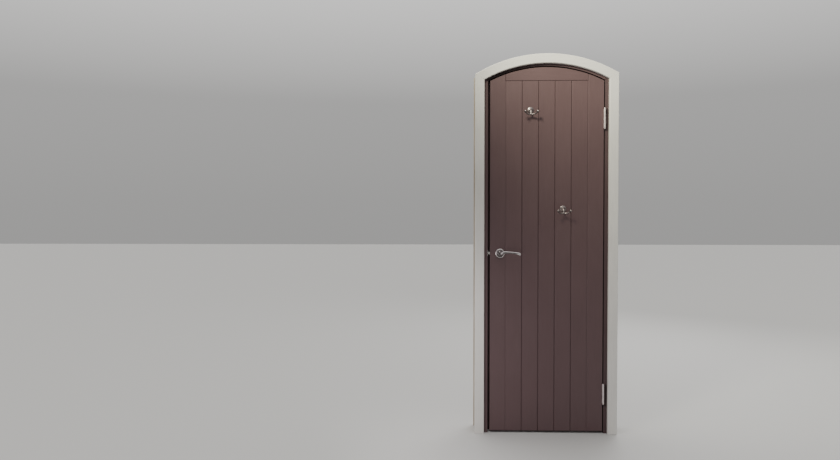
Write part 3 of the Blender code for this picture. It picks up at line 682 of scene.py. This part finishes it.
def make_stop_bead():
    """A planted bead that carries the latch side stop a few millimetres behind the leaf."""
    low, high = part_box("latch_stop")
    near, far = BACK_Y + BEAD_CLEARANCE, low.y - SEAT / 3
    left, right = low.x + SEAT, high.x + BEAD_WIDTH
    section = [(left, far), (left, near), (right - BEAD_CHAMFER, near), (right, near + BEAD_CHAMFER),
               (right, far)]
    rings = [[(x, y, z) for x, y in section] for z in (FLOOR_Z + SEAT, SPRING_Z - BEAD_HEAD_GAP)]
    paint = painted_wood("paint_stop_bead", MAUVE, "z", GRAIN_SEEDS["bead"])
    add_piece("latch_stop_bead", mesh_from_rings("bead", rings), "frame", paint)


# Levers on their roses, the arm on the same sweep as its solid

ROSE_EDGE = 0.0012
ROSE_SHOULDER = 0.0040
ROSE_DISH = 0.0058
ROSE_DISH_FOOT = 0.0035
ROSE_BORE_GAP = 0.0005
ROSE_STEPS = 12

COLLAR_SEAT = 0.0062
COLLAR_HEIGHT = 0.0020
COLLAR_WIDTH = 0.0020
COLLAR_SUNK = 0.001
COLLAR_ROUND = 0.0008
COLLAR_ROUND_AT = (0.0014, 0.0010)
COLLAR_LIP = 0.0002

LEVER_BEND = 0.016
LEVER_RISE = 0.0085
LEVER_DROOP = 0.002
LEVER_DROOP_POWER = 2.5
LEVER_PEAK_AT = 0.030
LEVER_WAIST_AT = 0.050
LEVER_ROOT_HEIGHT = 0.016
LEVER_WAIST_HEIGHT = 0.0105
LEVER_TIP_HEIGHT = 0.015
LEVER_FLARE_POWER = 1.5
LEVER_THICKNESS = 0.010
LEVER_TIP_ROUND = 0.0045
LEVER_TIP_SLIMMING = 0.9
LEVER_THINNEST = 0.0004
LEVER_ROUNDNESS = 2.0
LEVER_SQUARENESS = 2.5
LEVER_SIDES = 56
LEVER_NECK_STEPS, LEVER_BEND_STEPS, LEVER_ARM_STEPS, LEVER_TIP_STEPS = 6, 12, 36, 10
# Reach of the painted shade round the lever's neck, as a share of the neck
LEVER_NECK_SHADE = 1.2


def eased(share):
    """From 0 to 1 with a level start and end."""
    return 0.5 - 0.5 * math.cos(math.pi * share)


def rose_profile(radius, height, bore):
    """A pressed cover: rolled outer edge, a rounded rim and a shallow dish down to the neck."""
    rim = radius - ROSE_SHOULDER
    foot = bore + ROSE_DISH_FOOT
    profile = [(bore, SEAT), (radius - ROSE_EDGE, SEAT)]
    profile += arc((radius - ROSE_EDGE, SEAT + ROSE_EDGE), ROSE_EDGE, -90, 0, 5)
    profile += arc((rim, height - ROSE_SHOULDER), ROSE_SHOULDER, 0, 90, ROSE_STEPS)[1:]
    for i in range(1, ROSE_STEPS + 1):
        share = i / ROSE_STEPS
        profile.append((rim + (foot - rim) * share, height + (ROSE_DISH - height) * eased(share)))
    return profile + [(bore, ROSE_DISH)]


def collar_profile(neck):
    """A thin ring round the lever's neck, standing in the rose's dish."""
    inner, top = neck - COLLAR_SUNK, COLLAR_SEAT + COLLAR_HEIGHT
    middle = (neck + COLLAR_ROUND_AT[0], COLLAR_SEAT + COLLAR_ROUND_AT[1])
    profile = [(inner, COLLAR_SEAT), (neck + COLLAR_WIDTH, COLLAR_SEAT)]
    return profile + arc(middle, COLLAR_ROUND, -60, 90, 6) + [(neck + COLLAR_LIP, top), (inner, top)]


def lever_height(x, length):
    """Height of the arm's section, which narrows to a waist and flares to the tip."""
    if x < LEVER_WAIST_AT:
        far = (LEVER_WAIST_AT - x) / (LEVER_WAIST_AT - LEVER_BEND)
        return LEVER_WAIST_HEIGHT + (LEVER_ROOT_HEIGHT - LEVER_WAIST_HEIGHT) * far ** 2
    far = (x - LEVER_WAIST_AT) / (length - LEVER_WAIST_AT)
    return LEVER_WAIST_HEIGHT + (LEVER_TIP_HEIGHT - LEVER_WAIST_HEIGHT) * far ** LEVER_FLARE_POWER


def lever_line(x, length):
    """Height of the arm's centre line, which rises to a peak and droops to the tip."""
    if x < LEVER_PEAK_AT:
        return LEVER_RISE * math.sin(math.pi / 2 * x / LEVER_PEAK_AT)
    far = (x - LEVER_PEAK_AT) / (length - LEVER_PEAK_AT)
    return LEVER_RISE - (LEVER_RISE + LEVER_DROOP) * far ** LEVER_DROOP_POWER


def lever_stations(length, standoff, neck):
    """(x, depth, turn, half thickness, half height, squareness) from the neck's foot to the tip."""
    foot, neck_end, half = 2 * SEAT, standoff - LEVER_BEND, LEVER_THICKNESS / 2
    stations = []
    for i in range(LEVER_NECK_STEPS + 1):
        depth = foot + (neck_end - foot) * i / LEVER_NECK_STEPS
        stations.append((0.0, depth, 0.0, neck, neck, LEVER_ROUNDNESS))
    for i in range(1, LEVER_BEND_STEPS + 1):
        share = i / LEVER_BEND_STEPS
        turn, ease = math.pi / 2 * share, eased(share)
        x, depth = LEVER_BEND * (1 - math.cos(turn)), neck_end + LEVER_BEND * math.sin(turn)
        slim, tall = neck + (half - neck) * ease, neck + (LEVER_ROOT_HEIGHT / 2 - neck) * ease
        square = LEVER_ROUNDNESS + (LEVER_SQUARENESS - LEVER_ROUNDNESS) * ease
        stations.append((x, depth, turn, slim, tall, square))
    straight = length - LEVER_TIP_ROUND - LEVER_BEND
    for i in range(1, LEVER_ARM_STEPS + 1):
        x = LEVER_BEND + straight * i / LEVER_ARM_STEPS
        stations.append((x, standoff, math.pi / 2, half, lever_height(x, length) / 2, LEVER_SQUARENESS))
    for i in range(1, LEVER_TIP_STEPS + 1):
        angle = math.pi / 2 * i / LEVER_TIP_STEPS
        cut = LEVER_TIP_ROUND * (1 - math.cos(angle))
        x = length - LEVER_TIP_ROUND * (1 - math.sin(angle))
        slim = max(half - LEVER_TIP_SLIMMING * cut, LEVER_THINNEST)
        tall = max(lever_height(x, length) / 2 - cut, LEVER_THINNEST)
        stations.append((x, standoff, math.pi / 2, slim, tall, LEVER_SQUARENESS))
    return stations


def lever_mesh(name, out, length, standoff, neck):
    rings = []
    for x, depth, turn, across, up, square in lever_stations(length, standoff, neck):
        ring = []
        for i in range(LEVER_SIDES):
            angle = 2 * math.pi * i / LEVER_SIDES
            cos, sin = math.cos(angle), math.sin(angle)
            side = across * math.copysign(abs(cos) ** (2 / square), cos)
            height = lever_line(x, length) + up * math.copysign(abs(sin) ** (2 / square), sin)
            ring.append((x + side * math.cos(turn), out * (depth - side * math.sin(turn)), height))
        rings.append(ring)
    return mesh_from_rings(name, rings)


def make_levers():
    """A dished rose, a lever and the lever's collar on each side of the leaf."""
    for side, facing, out, face in (("front", "-y", -1, FACE_Y), ("rear", "y", 1, BACK_Y)):
        low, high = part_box(side + "_rose")
        lever_low, lever_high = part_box(side + "_lever")
        radius = (high.x - low.x) / 2
        height = (FACE_Y - low.y) if out < 0 else (high.y - BACK_Y)
        reach = (FACE_Y - lever_low.y) if out < 0 else (lever_high.y - BACK_Y)
        neck = SPINDLE.x - lever_low.x
        length = lever_high.x - SPINDLE.x
        place = Vector((SPINDLE.x, face, SPINDLE.z))

        # The rose's chrome has painted shade underneath and in its dish, and the lever's underneath and
        # round its neck
        chrome = polished_metal(f"chrome_{side}_rose", CHROME, ROSE_POLISH, 3.0 + out, ROSE_UNDERSIDE,
                                dish=radius - ROSE_SHOULDER)
        cover = turned(side + "_rose_cover", rose_profile(radius, height, neck + ROSE_BORE_GAP),
                       TURNED_STEPS, facing)
        add_piece(side + "_rose_cover", cover, "leaf", chrome, place, (side + "_rose",))

        chrome = polished_metal(f"chrome_{side}_lever", CHROME, LEVER_POLISH, 7.0 + out, LEVER_UNDERSIDE,
                                dish=LEVER_NECK_SHADE * neck, tip=length)
        handle = lever_mesh(side + "_lever_handle", out, length, reach - LEVER_THICKNESS / 2, neck)
        add_piece(side + "_lever_handle", handle, "lever", chrome, place,
                  (side + "_lever",), 60)
        collar = turned(side + "_lever_collar", collar_profile(neck), TURNED_STEPS, facing)
        add_piece(side + "_lever_collar", collar, "lever", chrome, place)


# Coat hooks: one smooth casting, found as the zero level of a blend of simple forms

HOOK_FORK_DROP = 0.024
HOOK_FORK_REACH = 0.018
HOOK_FORK_RADIUS = 0.0046
HOOK_STEM_RADIUS = 0.0065
HOOK_STEM_END_RADIUS = 0.0040
HOOK_SPREAD = 0.033
HOOK_REACH = 0.038
HOOK_TIP_RADIUS = 0.0036
HOOK_BALL_DROP = 0.010
HOOK_BALL_RADIUS = 0.0072
HOOK_ROSE_RADIUS = 0.018
HOOK_ROSE_HEIGHT = 0.006
HOOK_FILLET = 0.0030

HOOK_ARM_BEADS = 181
HOOK_STEM_BEADS = 61
HOOK_ROUGH_EVERY = 6
HOOK_VOXEL = 0.0006
HOOK_ROUNDS = 8
HOOK_PROBE = 0.00005
HOOK_LONGEST_STEP = 0.001
HOOK_LEAST_SLOPE = 0.05


def hook_arm(t):
    """A point on the arms, t from -1 at one tip to 1 at the other."""
    depth = HOOK_FORK_REACH + (HOOK_REACH - HOOK_FORK_REACH) * t ** 2
    return np.array((HOOK_SPREAD * t, -depth, -HOOK_FORK_DROP + (HOOK_FORK_DROP - HOOK_BALL_DROP) * t ** 4))


def hook_stem(t):
    """A point on the stem, t from 0 in the rose to 1 at the fork."""
    turn = math.pi / 2 * t
    start = HOOK_ROSE_HEIGHT / 2
    depth = start + (HOOK_FORK_REACH - start) * math.sin(turn)
    return np.array((0.0, -depth, -HOOK_FORK_DROP * (1 - math.cos(turn))))


def hook_beads():
    """Two rows of overlapping beads, as (centres, radii): the arms, then the stem."""
    arm_at = np.linspace(-1, 1, HOOK_ARM_BEADS)
    arms = np.array([hook_arm(t) for t in arm_at])
    arm_radii = HOOK_FORK_RADIUS + (HOOK_TIP_RADIUS - HOOK_FORK_RADIUS) * np.abs(arm_at)
    stem_at = np.linspace(0, 1, HOOK_STEM_BEADS)
    stem = np.array([hook_stem(t) for t in stem_at])
    stem_radii = HOOK_STEM_RADIUS + (HOOK_STEM_END_RADIUS - HOOK_STEM_RADIUS) * stem_at
    return (arms, arm_radii), (stem, stem_radii)


def smooth_min(first, second, width):
    share = np.clip(0.5 + 0.5 * (second - first) / width, 0, 1)
    return second + (first - second) * share - width * share * (1 - share)


def hook_distance(points, rows):
    """About the distance from the casting's surface, less than nothing inside it."""
    radial = np.hypot(points[:, 0], points[:, 2]) / HOOK_ROSE_RADIUS
    total = (np.hypot(radial, points[:, 1] / HOOK_ROSE_HEIGHT) - 1) * HOOK_ROSE_HEIGHT
    for centres, radii in reversed(rows):
        away = np.sqrt(((points[:, None, :] - centres[None]) ** 2).sum(axis=2)) - radii
        total = smooth_min(total, away.min(axis=1), HOOK_FILLET)
    for tip in (-1, 1):
        ball = np.linalg.norm(points - hook_arm(tip), axis=1) - HOOK_BALL_RADIUS
        total = smooth_min(total, ball, HOOK_FILLET / 2)
    return total


def rough_casting(rows):
    """A rough skin of the casting for the voxel grid to start from."""
    shape = bmesh.new()
    spheres = [(hook_arm(tip), HOOK_BALL_RADIUS) for tip in (-1, 1)]
    for centres, radii in rows:
        spheres += list(zip(centres[::HOOK_ROUGH_EVERY], radii[::HOOK_ROUGH_EVERY]))
    for centre, radius in spheres:
        place = Matrix.Translation(Vector(centre))
        bmesh.ops.create_icosphere(shape, subdivisions=2, radius=radius, matrix=place)
    disc = Matrix.Translation((0, -HOOK_ROSE_HEIGHT / 4, 0)) @ Matrix.Rotation(math.pi / 2, 4, "X")
    bmesh.ops.create_cone(shape, cap_ends=True, segments=64, radius1=HOOK_ROSE_RADIUS,
                          radius2=HOOK_ROSE_RADIUS * 0.8, depth=HOOK_ROSE_HEIGHT / 2, matrix=disc)
    return finished_mesh("hook_rough", shape)


def hook_mesh():
    """An even grid over the rough skin, with each point moved onto the casting's surface."""
    rows = hook_beads()
    rough = new_object("hook_rough", rough_casting(rows))
    grid = rough.modifiers.new("grid", "REMESH")
    grid.mode = "VOXEL"
    grid.voxel_size = HOOK_VOXEL
    mesh = evaluated_mesh(rough)
    bpy.data.objects.remove(rough, do_unlink=True)

    points = np.empty(len(mesh.vertices) * 3)
    mesh.vertices.foreach_get("co", points)
    points = points.reshape(-1, 3)
    for _ in range(HOOK_ROUNDS):
        here = hook_distance(points, rows)
        slope = np.stack([(hook_distance(points + HOOK_PROBE * np.eye(3)[axis], rows) - here) / HOOK_PROBE
                          for axis in range(3)], axis=1)
        steepness = np.maximum((slope ** 2).sum(axis=1), HOOK_LEAST_SLOPE)
        step = here[:, None] * slope / steepness[:, None]
        points = points - np.clip(step, -HOOK_LONGEST_STEP, HOOK_LONGEST_STEP)
    points[:, 1] = np.minimum(points[:, 1], -SEAT)
    mesh.vertices.foreach_set("co", points.ravel())
    mesh.update()
    return mesh


def make_coat_hooks():
    casting = hook_mesh()
    for node in ("upper_coat_hook", "lower_coat_hook"):
        low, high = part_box(node)
        place = Vector(((low.x + high.x) / 2, FACE_Y, high.z - HOOK_ROSE_RADIUS))
        # The hooks' metal has painted shade underneath
        chrome = polished_metal("chrome_" + node, HOOK_METAL, HOOK_POLISH, place.z, HOOK_UNDERSIDE,
                                shaded=SHADED_HOOK)
        add_piece(node + "_casting", casting.copy(), "leaf", chrome, place, (node,), 80)


# Screws with raised countersunk heads and a cross recess

SMALL_SCREW_RADIUS = 0.0032
LARGE_SCREW_RADIUS = 0.0041
SCREW_RISE = 0.0006
SCREW_SUNK = 0.0012
SCREW_EDGE_SUNK = 0.0001
SCREW_TAPER = 0.72
SCREW_SIDES = 32
SCREW_DOME_STEPS = 8
RECESS_WIDTH = 0.0011
RECESS_REACH = 0.0019
RECESS_DEPTH = 0.0009

# Rows from the leaf's face, and how far up and down a plate's screws stand, as shares of its half height
HINGE_SCREW_NEAR = 0.013
HINGE_SCREW_FAR = 0.023
HINGE_SCREW_SHARE = 0.72
FACEPLATE_SCREW_SHARE = 0.77
STRIKE_SCREW_SHARE = 0.74
FIRST_SCREW_TURN = 17
NEXT_SCREW_TURN = 47


def screw_template(radius):
    """A head facing +Z, its edge just under the face that it is let into."""
    profile = [(0.0, -SCREW_SUNK), (radius * SCREW_TAPER, -SCREW_SUNK), (radius, -SCREW_EDGE_SUNK)]
    for i in range(1, SCREW_DOME_STEPS + 1):
        share = 1 - i / SCREW_DOME_STEPS
        profile.append((radius * share, SCREW_RISE * (1 - share ** 2)))
    head = new_object("head", turned("head", profile, SCREW_SIDES, "z"))
    cutters = []
    for wide, deep in ((RECESS_REACH, RECESS_WIDTH / 2), (RECESS_WIDTH / 2, RECESS_REACH)):
        shape = bmesh.new()
        bmesh.ops.create_cube(shape, size=2.0)
        bmesh.ops.scale(shape, vec=(wide, deep, RECESS_DEPTH), verts=shape.verts)
        bmesh.ops.translate(shape, vec=(0, 0, SCREW_RISE), verts=shape.verts)
        cutters.append(new_object("recess", finished_mesh("recess", shape)))
    for cutter in cutters:
        cut = head.modifiers.new("recess", "BOOLEAN")
        cut.operation = "DIFFERENCE"
        cut.object = cutter
        cut.solver = "EXACT"
    mesh = evaluated_mesh(head)
    for item in [head] + cutters:
        bpy.data.objects.remove(item, do_unlink=True)
    return mesh


def add_screws(name, template, places, facing, body, seed):
    """One piece that holds every screw of a plate, each turned a little differently."""
    shape = bmesh.new()
    aim = Vector(facing).to_track_quat("Z", "Y").to_matrix().to_4x4()
    for i, place in enumerate(places):
        head = template.copy()
        turn = Matrix.Rotation(math.radians(FIRST_SCREW_TURN + NEXT_SCREW_TURN * i), 4, "Z")
        head.transform(Matrix.Translation(place) @ aim @ turn)
        shape.from_mesh(head)
        bpy.data.meshes.remove(head)
    steel = brushed_metal("steel_" + name, STEEL, seed)
    add_piece(name, finished_mesh(name, shape), body, steel)


def make_screws():
    small = screw_template(SMALL_SCREW_RADIUS)
    large = screw_template(LARGE_SCREW_RADIUS)
    near, far = FACE_Y + HINGE_SCREW_NEAR, FACE_Y + HINGE_SCREW_FAR
    sides = (("leaf", "leaf", 1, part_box("hinge_stile")[1].x),
             ("jamb", "frame", -1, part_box("hinge_jamb")[0].x))
    for level in LEVELS:
        for kind, body, sign, face in sides:
            node = f"{level}_hinge_{kind}_flap"
            low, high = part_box(node)
            middle = (low.z + high.z) / 2
            rise = HINGE_SCREW_SHARE * (high.z - low.z) / 2
            places = [Vector((face, y, z)) for y, z in ((near, middle + rise), (far, middle),
                                                        (near, middle - rise))]
            add_screws(node + "_screws", large, places, (sign, 0, 0), body, middle)

    low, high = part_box("latch_case")
    across, half = (low.y + high.y) / 2, (high.z - low.z) / 2
    plates = (("faceplate", low.x, -1, "leaf", FACEPLATE_SCREW_SHARE, 2.0),
              ("strike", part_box("strike_plate")[1].x, 1, "frame", STRIKE_SCREW_SHARE, 5.0))
    for name, face, sign, body, share, seed in plates:
        places = [Vector((face, across, SPINDLE.z + way * share * half)) for way in (1, -1)]
        add_screws(name + "_screws", small, places, (sign, 0, 0), body, seed)


# Stage

FLOOR_HALF_WIDTH = 14.0
FLOOR_COLOUR = (0.55, 0.545, 0.53)
FLOOR_ROUGHNESS = 0.75
FLOOR_GAP = 0.0005

# Grey of the sky from straight down to straight up, and its strength in front of the leaf and overhead
SKY_STOPS = ((0.0, 0.20), (0.5, 0.38), (0.58, 0.44), (0.66, 0.85), (0.82, 1.4), (1.0, 2.2))
SKY_TINT = (1.0, 0.99, 0.975)
FRONT_TONE = 0.19
OVERHEAD_TONE = 0.50
FRONT_FROM, FRONT_BY = -0.6, 0.5
OVERHEAD_FROM, OVERHEAD_BY = 0.25, 0.6

# Name, place and aim as (right, out, up) from the foot of the leaf, size, watts, colour and beam
LIGHTS = (
    ("key", (-0.65, 0.95, 2.65), (0.30, 0.0, 1.95), (0.30, 0.30), 5.9, (0.97, 0.95, 0.76), 68),
    ("low_fill", (-0.80, 0.75, 0.75), (-0.15, 0.0, 0.18), (0.45, 0.70), 1.9, (1.0, 0.95, 0.97), 120),
    ("rear_fill", (1.5, -2.65, 2.4), (0.0, -0.044, 1.1), (1.8, 1.8), 40.0, (1.0, 1.0, 1.0), 180),
)

# Camera: the photograph's eye point and lens; the view is raised a little so that the arch shows
CAMERA_LEFT = 0.6096
CAMERA_BACK = 3.266
CAMERA_HEIGHT = 1.264
FOCAL_PIXELS = 602.0
FRAME_PIXELS = 840
SENSOR = 36.0
YAW_PIXELS = 13.7
HORIZON_RISE_PIXELS = 29.5
SHIFT_PIXELS = 17


def from_the_foot(right, out, up):
    """A point measured from the leaf's centre line, its face and the floor."""
    return Vector((LEAF_X + right, FACE_Y - out, FLOOR_Z + up))


def make_floor():
    size = FLOOR_HALF_WIDTH
    mesh = bpy.data.meshes.new("studio_floor")
    corners = [(-size, -size, 0), (size, -size, 0), (size, size, 0), (-size, size, 0)]
    mesh.from_pydata(corners, [], [(0, 1, 2, 3)])
    floor = new_object("studio_floor", mesh)
    floor.location = (LEAF_X, 0, FLOOR_Z - FLOOR_GAP)
    material, graph, shader = new_material("pale_floor")
    graph.feed(shader.inputs["Base Color"], (*FLOOR_COLOUR, 1))
    graph.feed(shader.inputs["Roughness"], FLOOR_ROUGHNESS)
    mesh.materials.append(material)


def make_world():
    """Bright overhead and behind the leaf, and dim in front of it, so that metal has contrast."""
    world = bpy.data.worlds.new("studio")
    bpy.context.scene.world = world
    world.use_nodes = True
    graph = Graph(world.node_tree)
    _, y, z = graph.split("Generated")
    sky = graph.node("ShaderNodeValToRGB", {"Fac": graph.spread(z, 0.0, 1.0, -1.0, 1.0)})
    while len(sky.color_ramp.elements) < len(SKY_STOPS):
        sky.color_ramp.elements.new(0.5)
    for element, (place, grey) in zip(sky.color_ramp.elements, SKY_STOPS):
        element.position = place
        element.color = (*(grey * tint for tint in SKY_TINT), 1)
    around = graph.spread(y, FRONT_TONE, 1.0, FRONT_FROM, FRONT_BY)
    overhead = graph.spread(z, FRONT_TONE, OVERHEAD_TONE, OVERHEAD_FROM, OVERHEAD_BY)
    background = world.node_tree.nodes["Background"]
    graph.feed(background.inputs["Color"], sky.outputs["Color"])
    graph.feed(background.inputs["Strength"], graph.maths("MAXIMUM", around, overhead))


def make_lights():
    """A warm key high on the left, soft light from below left, and a wide light on the rear side."""
    for name, place, aim, (width, height), watts, colour, beam in LIGHTS:
        data = bpy.data.lights.new(name, "AREA")
        data.shape = "RECTANGLE"
        data.size = width
        data.size_y = height
        data.energy = watts
        data.color = colour
        data.spread = math.radians(beam)
        light = new_object(name, data)
        light.location = from_the_foot(*place)
        way = from_the_foot(*aim) - from_the_foot(*place)
        light.rotation_euler = way.to_track_quat("-Z", "Y").to_euler()


def make_camera():
    data = bpy.data.cameras.new("camera")
    data.sensor_width = SENSOR
    data.lens = FOCAL_PIXELS / FRAME_PIXELS * SENSOR
    data.shift_y = -SHIFT_PIXELS / FRAME_PIXELS
    camera = new_object("camera", data)
    camera.location = from_the_foot(-CAMERA_LEFT, CAMERA_BACK, CAMERA_HEIGHT)
    pitch = math.atan((HORIZON_RISE_PIXELS - SHIFT_PIXELS) / FOCAL_PIXELS)
    yaw = math.atan(YAW_PIXELS / FOCAL_PIXELS)
    camera.rotation_euler = (math.pi / 2 - pitch, 0, yaw)
    bpy.context.scene.camera = camera


make_camera()
make_world()
make_lights()
make_floor()
finish_wood()
make_joint_filler()
make_stop_bead()
make_levers()
make_coat_hooks()
make_screws()
finish_steel()
